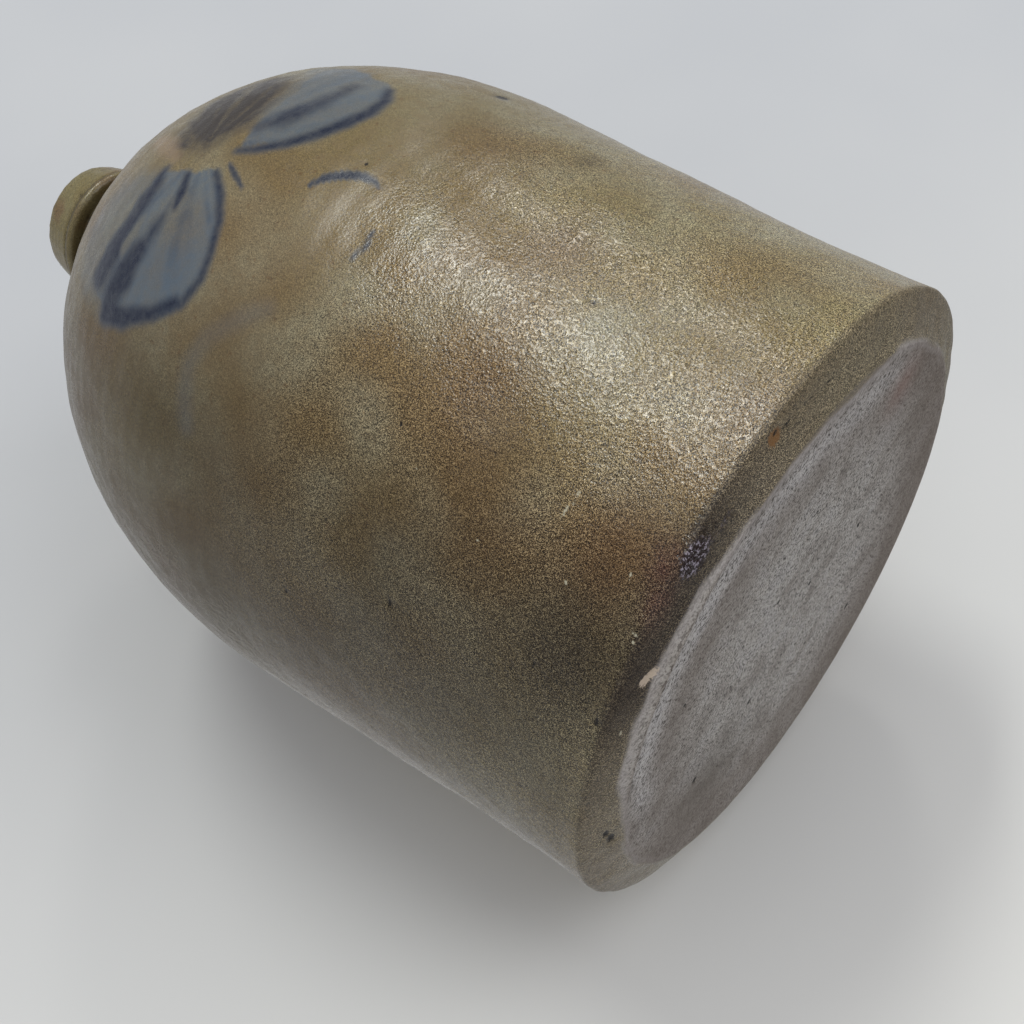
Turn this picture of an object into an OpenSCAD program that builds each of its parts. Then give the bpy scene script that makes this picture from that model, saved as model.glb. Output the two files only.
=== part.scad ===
// Stoneware crock jug, about two gallons: a wheel-thrown pot with a beveled foot,
// a nearly straight wall, a domed shoulder, a short neck under a tooled collar
// and a pulled strap handle. It stands upright on its flat base, +Z up, with the
// origin at the centre of the base. The handle is on the +Y side, the front is -Y.

/* [Foot] */
// Radius at the foot's edge, where the bevel meets the wall
foot_r = 108; // [107.5:0.5:116]
// Width of the bevel between the foot's edge and the flat underside
bevel_w = 14.6; // [8:0.1:24]
// Height of the bevel between the underside and the foot's edge
bevel_h = 6; // [4:0.5:10]
// Rounding of the foot's edge
foot_round = 1.5; // [0.5:0.1:2]

/* [Wall] */
// Radius of the slight waist above the foot
waist_r = 107; // [95:0.5:107.5]
// Height of the waist
waist_z = 41; // [30:1:70]
// Radius of the belly, where the wall meets the shoulder
belly_r = 108.5; // [100:0.5:115]
// Height of the belly
belly_z = 150; // [110:1:190]
// Thickness of the wall
wall = 7; // [5:0.5:10]
// Thickness of the floor
floor_t = 9; // [6:0.5:14]
// Inner rounding between floor and wall
floor_corner_r = 24; // [12:1:40]

/* [Shoulder] */
// Rise of the dome from the belly to its centre
dome_h = 137; // [100:1:150]
// Thickness of the clay at the top of the dome
dome_t = 12; // [9:0.5:16]
// Radius of the level ring where the neck is joined on
seat_r = 30; // [27:0.5:36]
// Radius of the hole cut through the dome under the neck
throat_r = 17; // [14.5:0.5:20]
// Thickness of the brown slip lining inside the pot
lining_t = 0.8; // [0.6:0.1:1.5]

/* [Neck and collar] */
// Radius of the neck under the collar
neck_r = 21.5; // [19:0.5:24]
// Height that the neck takes to sweep out onto the shoulder
neck_sweep_h = 11; // [8:0.5:15]
// Height of the neck from the shoulder ring to the underside of the collar
neck_h = 22.5; // [18:0.5:30]
// Radius of the mouth
bore_r = 13; // [10:0.5:14]
// Radius of the ridge along the bottom of the collar
ridge_r = 26.5; // [25:0.1:29]
// Height of the ridge
ridge_h = 5; // [4:0.5:7]
// Depth of the tooled line above the ridge
line_d = 0.6; // [0.3:0.1:1.2]
// Radius of the collar at the lip
lip_r = 22.6; // [19:0.1:24]
// Height of the collar
collar_h = 18.3; // [14:0.1:26]
// Rounding of the lip
lip_round = 2.6; // [1:0.1:3]

/* [Handle] */
// Width of the strap where it leaves the neck
strap_w = 36; // [28:1:42]
// Thickness of the strap
strap_t = 10; // [8:0.5:12]
// Depth of the two furrows along the strap's outer face
furrow_d = 1.3; // [0.5:0.1:2]
// How far the strap reaches out from the neck before it turns down
crown_reach = 42; // [34:1:48]
// How far the strap climbs from its root, which sets its top
crown_h = 26; // [20:1:30]
// How far the steering point of the bow stays inside the belly's radius
bow_inset = 3; // [0:0.5:12]
// Height over the belly at which the strap's end is buried in the shoulder
landing_h = 50; // [42:1:60]
// Radius of the thumb mark at the strap's lower end
thumb_r = 15; // [11:1:20]
// Depth of the thumb mark
thumb_d = 2.4; // [1:0.1:3]

/* [Hidden] */

$fn = 96;
// Steps along each curved stretch of an outline
arc_steps = 8;
wall_steps = 10;
dome_steps = 28;

// Places that follow from the sizes above
base_r = foot_r - bevel_w;
seat_z = dome_z(seat_r, belly_r, dome_h);
collar_z = seat_z + neck_h;
lip_z = collar_z + collar_h;
ridge_round_share = 0.45;
ridge_round = ridge_h * ridge_round_share;

// Height of the dome's surface at radius r, for a dome of radius a and rise h
function dome_z(r, a, h) = belly_z + h * sqrt(1 - pow(r / a, 2));

// Slope of the outer dome at the neck's seat
seat_slope = pow(dome_h / belly_r, 2) * seat_r / (seat_z - belly_z);

// Eased step from 0 to 1
function ease(t) = t * t * (3 - 2 * t);

// Outer radius of the wall at height z, from the foot's edge to the belly:
// a hollow sweep from the foot into the waist, then a slow swelling
function wall_r(z) = z < waist_z
    ? waist_r + (foot_r - waist_r) * pow((waist_z - z) / (waist_z - bevel_h), 2)
    : waist_r + (belly_r - waist_r) * ease((z - waist_z) / (belly_z - waist_z));

// Points of a circular arc around (cr, cz), from angle a0 to a1
function arc(cr, cz, r, a0, a1) =
    [for (i = [0:arc_steps]) let (a = a0 + (a1 - a0) * i / arc_steps) [cr + r * cos(a), cz + r * sin(a)]];

// Outside of the pot, from the middle of the underside to the neck's seat
bevel_angle = atan2(bevel_h, bevel_w);
sweep_z = bevel_h + 2 * foot_round;
function wall_points(z0, z1) =
    [for (i = [1:wall_steps]) let (z = z0 + (z1 - z0) * i / wall_steps) [wall_r(z), z]];
function pot_outside() = concat(
    [[0, 0], [base_r, 0]],
    arc(foot_r - foot_round, bevel_h + foot_round * tan(bevel_angle / 2), foot_round, bevel_angle - 90, 0),
    wall_points(sweep_z, waist_z),
    wall_points(waist_z, belly_z),
    dome_points(belly_r, dome_h, seat_r)
);

// A dome's outline from the belly up to radius r_end
function dome_points(a, h, r_end) = let (a_end = acos(r_end / a))
    [for (i = [1:dome_steps]) let (t = a_end * i / dome_steps) [a * cos(t), belly_z + h * sin(t)]];

// Inside of the pot at depth d behind the clay's inner face, from the middle of
// the floor to the throat
function pot_inside(d) = let (
    corner_z = floor_t + floor_corner_r,
    corner_c = wall_r(corner_z) - wall - floor_corner_r
) concat(
    [[0, floor_t + d]],
    arc(corner_c, corner_z, floor_corner_r - d, -90, 0),
    [for (p = wall_points(corner_z, belly_z)) [p[0] - wall - d, p[1]]],
    dome_points(belly_r - wall - d, dome_h - dome_t - d, throat_r)
);

function reversed(list) = [for (i = [len(list) - 1:-1:0]) list[i]];

// Neck's sweep from the shoulder up to the neck, tangent to both
function neck_sweep() = [for (i = [0:arc_steps]) let (a = 90 * i / arc_steps, w = seat_r - neck_r)
    [seat_r - w * sin(a), seat_z + neck_sweep_h * (1 - cos(a)) + seat_slope * w * sin(a) * cos(a)]];

// Outside of the neck and collar, from the shoulder to the lip's flat top
ridge_end_angle = 60;
lip_start_angle = 12;
line_z = collar_z + ridge_h;
line_r = ridge_r - line_d - (ridge_r - lip_r) * ridge_h / collar_h;
function collar_outside() = concat(
    neck_sweep(),
    [[neck_r, collar_z]],
    arc(ridge_r - ridge_round, collar_z + ridge_round, ridge_round, -90, ridge_end_angle),
    [[line_r, line_z], [line_r + line_d / 2, line_z + line_d]],
    arc(lip_r - lip_round, lip_z - lip_round, lip_round, lip_start_angle, 90)
);

module jug_body() {
    color([0.42, 0.38, 0.29])
        rotate_extrude()
            polygon(concat(pot_outside(), [[throat_r, seat_z]], reversed(pot_inside(0))));
}

module slip_lining() {
    color([0.24, 0.15, 0.09])
        rotate_extrude()
            polygon(concat(pot_inside(0), reversed(pot_inside(lining_t))));
}

// The neck and its collar, thrown as one ring and joined onto the dome
module spout() {
    color([0.36, 0.31, 0.20])
        rotate_extrude()
            polygon(concat(
                [[bore_r, seat_z]],
                collar_outside(),
                arc(bore_r + lip_round / 2, lip_z - lip_round / 2, lip_round / 2, 90, 180)
            ));
}

// The handle is one pulled strap. Its centre line is a curve in the plane x = 0,
// steered by four points: inside the neck, over the crown, beyond the bow, and
// inside the shoulder. What is buried at either end is cut away along the surface.
root_depth_share = 0.7;
root_height_share = 0.45;
buried_share = 1.1;
root_y = neck_r * (1 - root_depth_share);
root_z = seat_z + neck_h * root_height_share;
landing_z = belly_z + landing_h;
landing_y = belly_r * sqrt(1 - pow(landing_h / dome_h, 2)) - strap_t * buried_share;
steer = [
    [root_y, root_z],
    [neck_r + crown_reach, root_z + crown_h],
    [belly_r - bow_inset, root_z + crown_h],
    [landing_y, landing_z]
];

function bezier(p, t) = p[0] * pow(1 - t, 3) + p[1] * 3 * t * pow(1 - t, 2)
    + p[2] * 3 * t * t * (1 - t) + p[3] * pow(t, 3);
function bezier_dir(p, t) = (p[1] - p[0]) * pow(1 - t, 2) + (p[2] - p[1]) * 2 * t * (1 - t)
    + (p[3] - p[2]) * t * t;

// Shares of the centre line at which the clay joints end and the strap begins
upper_end_share = 0.2;
lower_end_share = 0.8;

// How the strap widens and thickens into its joints, where the furrows fade:
// share of the line, then shares of the width, the thickness and the furrows' depth
spread_shares = [
    [0, 1.3, 1.75, 0], [0.1, 1.2, 1.45, 0.2], [0.2, 1.03, 1.08, 0.9], [0.35, 0.96, 0.97, 1],
    [0.55, 0.88, 0.93, 1], [0.7, 0.84, 0.92, 1], [0.8, 0.9, 0.96, 0.6], [0.86, 1.05, 1, 0],
    [1, 1.5, 1.2, 0]
];
function spread(t, k) = lookup(t, [for (s = spread_shares) [s[0], s[k]]]);

// Outline of the strap across its length at share t of the line: a bar with
// rounded sides and two furrows along its outer face
ring_points = 32;
furrow_places_share = [-0.17, 0.17];
furrow_width_share = 0.09;
side_share = 0.62;
face_share = 0.8;
function furrow(u) = let (d = [for (f = furrow_places_share) (u - f) / furrow_width_share])
    exp(-d[0] * d[0]) + exp(-d[1] * d[1]);
function rounded(v, p) = sign(v) * pow(abs(v), p) / 2;
function outward(t) = let (d = bezier_dir(steer, t)) [-d[1], d[0]] / norm(d);
function ring(t) = let (
    c = bezier(steer, t),
    n = outward(t),
    w = strap_w * spread(t, 1),
    h = strap_t * spread(t, 2)
) [for (i = [0:ring_points - 1]) let (
        a = 360 * i / ring_points,
        u = rounded(cos(a), side_share),
        v = rounded(sin(a), face_share),
        rise = v * h - (v > 0 ? furrow_d * spread(t, 3) * furrow(u) * sin(a) : 0)
    ) [u * w, c[0] + n[0] * rise, c[1] + n[1] * rise]];

// Solid skin over a row of rings
module loft(t0, t1, steps) {
    rings = [for (k = [0:steps]) ring(t0 + (t1 - t0) * k / steps)];
    n = ring_points;
    points = [for (r = rings) each r];
    sides = [for (k = [0:steps - 1]) for (i = [0:n - 1]) let (j = (i + 1) % n)
        each [[k * n + i, k * n + j, (k + 1) * n + j], [k * n + i, (k + 1) * n + j, (k + 1) * n + i]]];
    polyhedron(points, concat(sides, [[for (i = [n - 1:-1:0]) i]], [[for (i = [0:n - 1]) steps * n + i]]));
}

// The pot's outside as a filled form, which the clay joints are cut to
module pot_solid() {
    rotate_extrude() polygon(concat(pot_outside(), [[0, seat_z]]));
}

strap_steps = 24;
lute_steps = 8;

module handle_strap() {
    color([0.40, 0.36, 0.27])
        loft(upper_end_share, lower_end_share, strap_steps);
}

// Clay worked round the strap's end against the neck, under the collar
module upper_lute() {
    color([0.38, 0.34, 0.25])
        difference() {
            loft(0, upper_end_share, lute_steps);
            rotate_extrude() polygon(concat([[0, seat_z]], collar_outside(), [[0, lip_z]]));
            pot_solid();
        }
}

// Clay of the strap's lower end, thumbed down onto the shoulder
thumb_place_share = 0.87;
module lower_lute() {
    c = bezier(steer, thumb_place_share);
    lift = strap_t * spread(thumb_place_share, 2) / 2 + thumb_r - thumb_d;
    thumb = c + outward(thumb_place_share) * lift;
    color([0.38, 0.34, 0.25])
        difference() {
            loft(lower_end_share, 1, lute_steps);
            pot_solid();
            translate([0, thumb[0], thumb[1]]) sphere(thumb_r);
        }
}

jug_body();
slip_lining();
spout();
handle_strap();
upper_lute();
lower_lute();
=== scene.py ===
# %% [markdown]
# # A stoneware crock jug
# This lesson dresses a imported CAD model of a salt-glazed jug. The solids give
# every size: the turned outline of the pot, the neck and the path of the handle
# are read back from them, so nothing here is measured twice. What is added is
# what a potter's hands and a salt kiln leave behind: turning rings, pits, the
# orange-peel skin, iron-brown flushes and a brushed blue flower.
# Everything is in metres, upright on its base, with the handle towards +Y.

# %% Load the frame
import math

import bmesh
import bpy
import numpy as np
from mathutils import Matrix, Vector


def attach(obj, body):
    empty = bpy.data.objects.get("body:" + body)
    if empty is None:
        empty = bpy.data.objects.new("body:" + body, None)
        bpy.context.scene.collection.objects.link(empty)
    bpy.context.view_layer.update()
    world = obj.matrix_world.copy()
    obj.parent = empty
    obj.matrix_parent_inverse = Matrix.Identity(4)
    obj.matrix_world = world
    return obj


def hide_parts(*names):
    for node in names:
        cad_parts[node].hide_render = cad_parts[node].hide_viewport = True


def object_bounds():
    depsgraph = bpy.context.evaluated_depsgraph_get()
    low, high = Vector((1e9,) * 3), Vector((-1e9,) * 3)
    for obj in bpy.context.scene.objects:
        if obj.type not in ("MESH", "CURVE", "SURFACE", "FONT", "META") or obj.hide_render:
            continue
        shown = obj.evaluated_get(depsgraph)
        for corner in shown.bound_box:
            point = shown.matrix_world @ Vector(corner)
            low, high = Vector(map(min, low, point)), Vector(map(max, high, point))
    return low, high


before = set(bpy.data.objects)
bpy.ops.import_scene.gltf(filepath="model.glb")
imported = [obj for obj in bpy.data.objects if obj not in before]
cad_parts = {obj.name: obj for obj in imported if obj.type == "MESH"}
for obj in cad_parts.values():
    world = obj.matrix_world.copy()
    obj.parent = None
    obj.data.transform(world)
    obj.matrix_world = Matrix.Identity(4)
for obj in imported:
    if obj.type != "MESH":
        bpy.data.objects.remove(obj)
bpy.context.view_layer.update()
CAD_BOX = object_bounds()
MM = 0.001
BELLY_RADIUS, JUG_TOP = CAD_BOX[1][0], CAD_BOX[1][2]
print("CAD box in metres:", [round(v, 4) for v in (*CAD_BOX[0], *CAD_BOX[1])])

# %% [markdown]
# ## The camera
# The picture shows the jug lying on its side, seen from low beside its foot, so
# that the underside turns towards us. Here the jug stays upright in its frame
# and the camera does the turning: it sits below the base, rolled over. Its place
# and directions come from fitting a turned outline to the jug's edges. The
# photograph is an off-centre crop, which a small lens shift repeats.

# %% Camera
PICTURE_PX = 1024
FOCAL_PX = 1329
CENTRE_PX = (645, 703)
SENSOR_MM = 36
NEAR_AND_FAR = (0.01, 50)
CAMERA_PLACE = Vector((-0.1327, -0.3966, -0.0996))
CAMERA_BACK = Vector((-0.1964, -0.9358, -0.2928)).normalized()
CAMERA_UP = Vector((0.8038, -0.3247, 0.4985))


def in_scene(name, data):
    """A new object that holds the data, linked to the scene."""
    thing = bpy.data.objects.new(name, data)
    bpy.context.scene.collection.objects.link(thing)
    return thing


def make_camera():
    data = bpy.data.cameras.new("photo_camera")
    data.sensor_width = SENSOR_MM
    data.lens = SENSOR_MM * FOCAL_PX / PICTURE_PX
    data.shift_x = (PICTURE_PX / 2 - CENTRE_PX[0]) / PICTURE_PX
    data.shift_y = (CENTRE_PX[1] - PICTURE_PX / 2) / PICTURE_PX
    data.clip_start, data.clip_end = NEAR_AND_FAR
    camera = in_scene("photo_camera", data)
    right = CAMERA_UP.cross(CAMERA_BACK).normalized()
    up = CAMERA_BACK.cross(right)
    turn = Matrix((right, up, CAMERA_BACK)).transposed().to_4x4()
    camera.matrix_world = Matrix.Translation(CAMERA_PLACE) @ turn
    bpy.context.scene.camera = camera
    return camera


camera = make_camera()
ahead = camera.matrix_world.to_3x3() @ Vector((0, 0, -1))
print("camera looks along", [round(v, 3) for v in ahead])

# %% [markdown]
# ## Reading the outlines back from the solids
# A turned solid is one outline spun round the axis. Its mesh has a row of points
# along the seam, where y is zero and x is positive, and the edges between them
# are that outline. Following those edges gives it in order, as radius and height.

# %% Outline of a turned node
SAME_PLACE = 1e-6


def seam_outline(node):
    """Ordered (radius, height) points of a turned node's closed outline, in metres."""
    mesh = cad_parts[node].data
    points = {}
    for v in mesh.vertices:
        if abs(v.co.y) < SAME_PLACE and v.co.x > -SAME_PLACE:
            points[v.index] = (round(v.co.x, 6), round(v.co.z, 6))
    links = {}
    for e in mesh.edges:
        a, b = e.vertices
        if a in points and b in points and points[a] != points[b]:
            links.setdefault(points[a], set()).add(points[b])
            links.setdefault(points[b], set()).add(points[a])
    start = min(links, key=lambda p: (p[1], p[0]))
    line = [start]
    while True:
        ways = [p for p in links[line[-1]] if p not in line]
        if not ways:
            break
        ways.sort(key=lambda p: math.dist(p, line[-1]))
        line.append(ways[0])
    return np.array(line)


print("outline reader ready")

# %% [markdown]
# ## A class for shader maths
# Node trees are clearer as arithmetic. `Wire` holds one output of a node, and
# its operators add Math nodes, so `1 - mask` is a node and not a number. Every
# other node comes from one method, `Finish.add` in the next cell, which takes the
# node's type, its settings and what its sockets get.

# %% Wires
class Wire:
    """One output of a node."""

    def __init__(self, finish, socket):
        self.finish = finish
        self.socket = socket

    def math(self, operation, *others):
        inputs = dict(enumerate((self, *others)))
        return self.finish.add("ShaderNodeMath", {"operation": operation}, inputs)

    def __add__(self, other):
        return self.math("ADD", other)

    def __sub__(self, other):
        return self.math("SUBTRACT", other)

    def __rsub__(self, other):
        return self.finish.add("ShaderNodeMath", {"operation": "SUBTRACT"}, {0: other, 1: self})

    def __mul__(self, other):
        return self.math("MULTIPLY", other)

    __radd__ = __add__
    __rmul__ = __mul__

    def clamped(self):
        return self.finish.add("ShaderNodeClamp", {}, {"Value": self})

    def between(self, low, high):
        """0 at low, 1 at high, smooth in between and level outside; high may be the smaller."""
        sockets = {"Value": self, "From Min": low, "From Max": high}
        return self.finish.add("ShaderNodeMapRange", {"interpolation_type": "SMOOTHSTEP"}, sockets)


print("wires ready")

# %% [markdown]
# ## A class for finishes
# A finish is one material. Its coordinates are the jug's own millimetres, so a
# noise of size 2 has lumps of 2 mm on every piece. Besides `add`, its methods
# are short names for the few nodes that every glaze needs.

# %% Finishes
class Finish:
    """One material, with its node tree and the coordinates of the jug in millimetres."""

    DRIFT = (1, 0.7, 1.3)
    GLAZE_IOR = 1.5

    def __init__(self, name):
        self.material = bpy.data.materials.new(name)
        self.material.use_nodes = True
        self.tree = self.material.node_tree
        self.tree.nodes.clear()
        metres = self.add("ShaderNodeTexCoord", {}, {}, "Object")
        self.place = self.vector("SCALE", metres, 1 / MM)

    @classmethod
    def on(cls, tree):
        """A bare finish on another node tree, such as a world's."""
        finish = cls.__new__(cls)
        finish.tree = tree
        tree.nodes.clear()
        return finish

    def add(self, kind, settings, sockets, out=0):
        """Any node: its settings are set first, then its sockets get values or wires."""
        node = self.tree.nodes.new(kind)
        for key, value in settings.items():
            setattr(node, key, value)
        for key, value in sockets.items():
            if isinstance(value, Wire):
                self.tree.links.new(value.socket, node.inputs[key])
            else:
                node.inputs[key].default_value = value
        return Wire(self, node.outputs[out]) if node.outputs else node

    def vector(self, operation, a, b, out=0):
        """Vector Math on a and b; to scale, b is a plain number or a wire of one."""
        second = "Scale" if operation == "SCALE" else 1
        return self.add("ShaderNodeVectorMath", {"operation": operation}, {0: a, second: b}, out)

    def noise(self, size, detail=2.0, roughness=0.5, shift=0.0, place=None):
        """Cloudy noise whose lumps are about size millimetres; shift gives another cloud."""
        drift = tuple(shift * share for share in self.DRIFT)
        moved = self.vector("ADD", place or self.place, drift)
        return self.add("ShaderNodeTexNoise", {}, {
            "Vector": moved, "Scale": 1 / size, "Detail": detail, "Roughness": roughness})

    def cells(self, size):
        """Distance to the nearest of scattered points about size millimetres apart, in cells."""
        return self.add("ShaderNodeTexVoronoi", {}, {"Vector": self.place, "Scale": 1 / size})

    def painted(self, name):
        """A value that the mesh carries at each point."""
        return self.add("ShaderNodeAttribute", {"attribute_name": name}, {}, "Fac")

    def mix(self, share, a, b):
        """Colour a where share is 0 and colour b where it is 1."""
        return self.add("ShaderNodeMix", {"data_type": "RGBA"}, {0: share, 6: a, 7: b}, 2)

    def layered(self, colour, *coats):
        """Lays coats, each a share and a colour, one over the other."""
        for share, paint in coats:
            colour = self.mix(share, colour, paint)
        return colour

    def shaded(self, colour, light):
        """Colour times a grey value."""
        return self.vector("SCALE", colour, light)

    def close(self, colour, roughness, height):
        """Joins colour, roughness and a height in millimetres into the surface."""
        bump = self.add("ShaderNodeBump", {}, {
            "Strength": 1.0, "Distance": MM, "Height": height}, "Normal")
        shader = self.add("ShaderNodeBsdfPrincipled", {}, {
            "Base Color": colour, "Roughness": roughness, "Normal": bump, "IOR": self.GLAZE_IOR})
        self.add("ShaderNodeOutputMaterial", {}, {"Surface": shader})
        return self.material


print("finishes ready")

# %% Colours as they look
def rgb(r, g, b):
    """A colour written as it looks on screen, 0 to 255, made linear for the shader."""
    def linear(v):
        v = v / 255
        return v / 12.92 if v <= 0.04045 else ((v + 0.055) / 1.055) ** 2.4
    return (linear(r), linear(g), linear(b), 1.0)


print("middle grey in linear light:", round(rgb(128, 128, 128)[0], 3))

# %% [markdown]
# ## Smooth lines
# The solids' outline is a row of straight steps, which would shine as facets. A
# subdivision surface would round them, but it would round the real corners too.
# A cubic curve through the points keeps to them, and stops at each corner.

# %% Curve through outline points
CORNER_TURN = math.radians(28)
LEAST_STEP = 1e-5
POT_STEP = 1.25 * MM
NECK_STEP = 0.6 * MM


def curve_through(points, step):
    """Points about step apart on a smooth curve through a run of points."""
    points = np.asarray(points, float)
    gaps = np.linalg.norm(np.diff(points, axis=0), axis=1)
    along = np.concatenate([[0], np.cumsum(gaps)])
    slope = np.diff(points, axis=0) / gaps[:, None]
    tangent = np.empty_like(points)
    tangent[0] = slope[0]
    tangent[-1] = slope[-1]
    w = (gaps[1:] / (gaps[1:] + gaps[:-1]))[:, None]
    tangent[1:-1] = slope[:-1] * w + slope[1:] * (1 - w)
    count = max(2, int(round(along[-1] / step)) + 1)
    s = np.linspace(0, along[-1], count)
    k = np.clip(np.searchsorted(along, s, side="right") - 1, 0, len(gaps) - 1)
    h = gaps[k][:, None]
    t = ((s - along[k]) / gaps[k])[:, None]
    return ((2 * t**3 - 3 * t**2 + 1) * points[k] + (t**3 - 2 * t**2 + t) * h * tangent[k]
            + (3 * t**2 - 2 * t**3) * points[k + 1] + (t**3 - t**2) * h * tangent[k + 1])


def smooth_outline(points, step):
    """The whole outline, rounded between its corners and kept sharp at them."""
    points = np.asarray(points, float)
    keep = [0]
    for i in range(1, len(points)):
        if math.dist(points[i], points[keep[-1]]) > LEAST_STEP:
            keep.append(i)
    points = points[keep]
    d = np.diff(points, axis=0)
    angle = np.arctan2(d[:, 1], d[:, 0])
    turn = np.abs((np.diff(angle) + math.pi) % (2 * math.pi) - math.pi)
    corners = [0, *(np.nonzero(turn > CORNER_TURN)[0] + 1), len(points) - 1]
    runs = [curve_through(points[a:b + 1], step) for a, b in zip(corners[:-1], corners[1:])]
    return np.concatenate([r[:-1] for r in runs[:-1]] + [runs[-1]])


pot_line = smooth_outline(seam_outline("jug_body"), POT_STEP)
neck_line = smooth_outline(seam_outline("spout"), NECK_STEP)
print("pot line", len(pot_line), "points, neck line", len(neck_line), "points")

# %% [markdown]
# ## Turned skins
# A Screw modifier could spin the line. Here the grid of points is worked out
# directly instead, because a grid is easy to dent: each point knows its angle,
# its place along the line and which way is out.

# %% Spin a line into a mesh
def shade_smooth(mesh):
    mesh.polygons.foreach_set("use_smooth", np.ones(len(mesh.polygons), bool))


def spin(name, line, around, close_floor=False, joined=False):
    """A turned skin: its object, and each grid point's place, way out and angle."""
    theta = np.linspace(0, 2 * math.pi, around, endpoint=False)
    way = np.gradient(line, axis=0)
    way /= np.linalg.norm(way, axis=1)[:, None] + 1e-12

    def swept(pairs):
        """Rings of x, y and z from pairs of a radius and a height."""
        radial, upward = pairs[:, :1], np.repeat(pairs[:, 1:], around, 1)
        return np.stack([radial * np.cos(theta), radial * np.sin(theta), upward], -1)

    places, ways_out = swept(line), swept(np.stack([way[:, 1], -way[:, 0]], 1))
    rows, here = len(line), np.arange(around)
    beside = (here + 1) % around
    strips = rows if joined else rows - 1
    low = np.arange(strips)[:, None] * around
    high = (np.arange(1, strips + 1) % rows)[:, None] * around
    quads = np.stack([low + here, low + beside, high + beside, high + here], -1)
    faces = [tuple(quad) for quad in quads.reshape(-1, 4)]
    points = places.reshape(-1, 3)
    if close_floor:
        points = np.concatenate([points, [[0, 0, line[0, 1]], [0, 0, line[-1, 1]]]])
        middle, top = rows * around, (rows - 1) * around
        pairs = list(zip(here.tolist(), beside.tolist()))
        faces += [(middle, b, a) for a, b in pairs]
        faces += [(middle + 1, top + a, top + b) for a, b in pairs]
    mesh = bpy.data.meshes.new(name)
    mesh.from_pydata(points.tolist(), [], faces)
    shade_smooth(mesh)
    return in_scene(name, mesh), places, ways_out, np.repeat(theta[None, :], rows, 0)


def set_points(piece, places):
    """Moves the grid points of a skin; any centre points stay."""
    mesh = piece.data
    flat = np.empty(len(mesh.vertices) * 3, np.float32)
    mesh.vertices.foreach_get("co", flat)
    flat[:places.size] = places.reshape(-1)
    mesh.vertices.foreach_set("co", flat)
    mesh.update()


def carry(piece, name, values):
    """Stores one value per point for the material to read."""
    mesh = piece.data
    flat = np.zeros(len(mesh.vertices), np.float32)
    flat[:values.size] = values.reshape(-1)
    layer = mesh.attributes.new(name, "FLOAT", "POINT")
    layer.data.foreach_set("value", flat)


print("spinning helpers ready")

# %% [markdown]
# ## Marks on the pot
# Marks are placed by their angle from the front, in degrees, and their height.
# Each one is a soft dent or a patch whose size is given in millimetres. The
# flower's petals are closed brush shapes; the distance from a point to a shape's
# edge says how deep inside the brushwork the point is. An image texture could
# hold all this, but numbers on the mesh stay sharp, small and easy to change.

# %% The wall unrolled
def turned_from(angles, start):
    """Degrees from start to each angle, from -180 to 180."""
    return (angles - start + 180) % 360 - 180


class Wall:
    """The outside of the pot unrolled: angle from the front, height and distance along it."""

    def __init__(self, line, angle):
        around = angle.shape[1]
        self.radius = np.repeat(line[:, :1], around, 1) / MM
        self.height = np.repeat(line[:, 1:], around, 1) / MM
        step = np.linalg.norm(np.diff(line, axis=0), axis=1) / MM
        self.line_z = line[:, 1] / MM
        self.line_r = line[:, 0] / MM
        self.line_s = np.concatenate([[0], np.cumsum(step)])
        self.along = np.repeat(self.line_s[:, None], around, 1)
        self.front = turned_from(np.degrees(angle) + 90, 0)

    def at(self, q, z):
        """Unrolled place of an angle and height."""
        r = np.interp(z, self.line_z, self.line_r)
        return np.stack([np.radians(q) * r, np.interp(z, self.line_z, self.line_s)], -1)

    def flat(self):
        """Unrolled places of all points."""
        return np.stack([np.radians(self.front) * self.radius, self.along], -1)

    def spot(self, q, z, size, high=None):
        """A soft round or oval patch, 1 at its centre."""
        s = np.interp(z, self.line_z, self.line_s)
        du = np.radians(turned_from(self.front, q)) * self.radius
        return np.exp(-((du / size) ** 2 + ((self.along - s) / (high or size)) ** 2))


print("unrolled wall ready")

# %% Distances to brush shapes
def to_segment(x, y, start, end):
    """Distance to a straight bit of line, and how far along it, 0 to 1, the nearest point is."""
    dx, dy = end[0] - start[0], end[1] - start[1]
    t = np.clip(((x - start[0]) * dx + (y - start[1]) * dy) / (dx ** 2 + dy ** 2), 0, 1)
    return np.hypot(x - start[0] - t * dx, y - start[1] - t * dy), t


def depth_in(points, shape):
    """Distance inside a closed shape, negative outside it."""
    x, y = points[..., 0], points[..., 1]
    away = np.full(x.shape, 1e9)
    inside = np.zeros(x.shape, bool)
    for start, end in zip(shape, np.roll(shape, -1, 0)):
        away = np.minimum(away, to_segment(x, y, start, end)[0])
        (x0, y0), (x1, y1) = start, end
        inside ^= ((y0 > y) != (y1 > y)) & (x < (x1 - x0) * (y - y0) / (y1 - y0 + 1e-12) + x0)
    return np.where(inside, away, -away)


def stroke(points, path, widths):
    """How far inside a brush stroke a point is, for a path of points and its half widths."""
    x, y = points[..., 0], points[..., 1]
    best = np.full(x.shape, -1e9)
    for start, end, wide, next_wide in zip(path[:-1], path[1:], widths[:-1], widths[1:]):
        away, t = to_segment(x, y, start, end)
        best = np.maximum(best, wide + t * (next_wide - wide) - away)
    return best


print("brush distances ready")

# %% Soft edges and lumps
LUMP_RADIUS = 105
PHASES = (0, 6.3)
LUMP_CREST = 1.6


def soft(depth, edge):
    """0 outside, 1 inside, with an edge that wide."""
    t = np.clip(depth / edge + 0.5, 0, 1)
    return t * t * (3 - 2 * t)


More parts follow.
